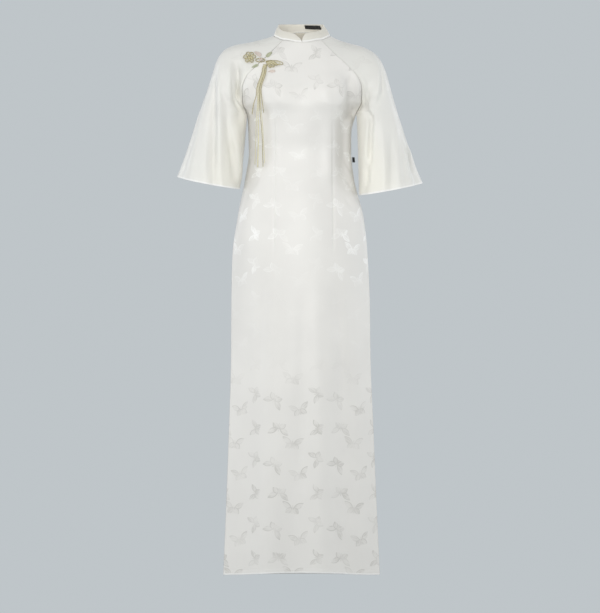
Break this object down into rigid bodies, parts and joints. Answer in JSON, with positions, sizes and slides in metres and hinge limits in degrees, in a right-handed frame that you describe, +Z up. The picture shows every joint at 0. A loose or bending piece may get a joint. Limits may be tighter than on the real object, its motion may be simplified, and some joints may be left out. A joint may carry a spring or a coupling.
{
  "type": "ao dai tunic",
  "caption": "Ankle-length fitted tunic with a standing collar, raglan bell sleeves, side slits from the hip and a knotted frog on the slanted chest opening, hollow as worn",
  "frame": {"origin": "On the body's axis, level with the points where the shoulders meet the neck: where the wearer's neck and shoulders hold the garment up", "axes": "+Z up, -Y the way the wearer faces, +X the wearer's left"},
  "size_m": [0.6142, 0.2371, 1.3789],
  "materials": {
    "silk": "ivory satin jacquard",
    "gold": "gold cord and ribbon",
    "leaf": "pale green satin",
    "petal": "pale pink satin",
    "black": "plain woven black"
  },
  "bodies": {
    "root": {"back": "silk", "collar": "silk", "frog_fan": "gold", "frog_flower": "gold", "frog_knot": "gold", "frog_leaf_lower": "leaf", "frog_leaf_upper": "leaf", "frog_loop": "gold", "frog_petal_lower": "petal", "frog_petal_upper": "petal", "frog_tails": "gold", "front": "silk", "neck_label": "black", "side_tag": "black", "sleeve_left": "silk", "sleeve_right": "silk"}
  },
  "joints": []
}
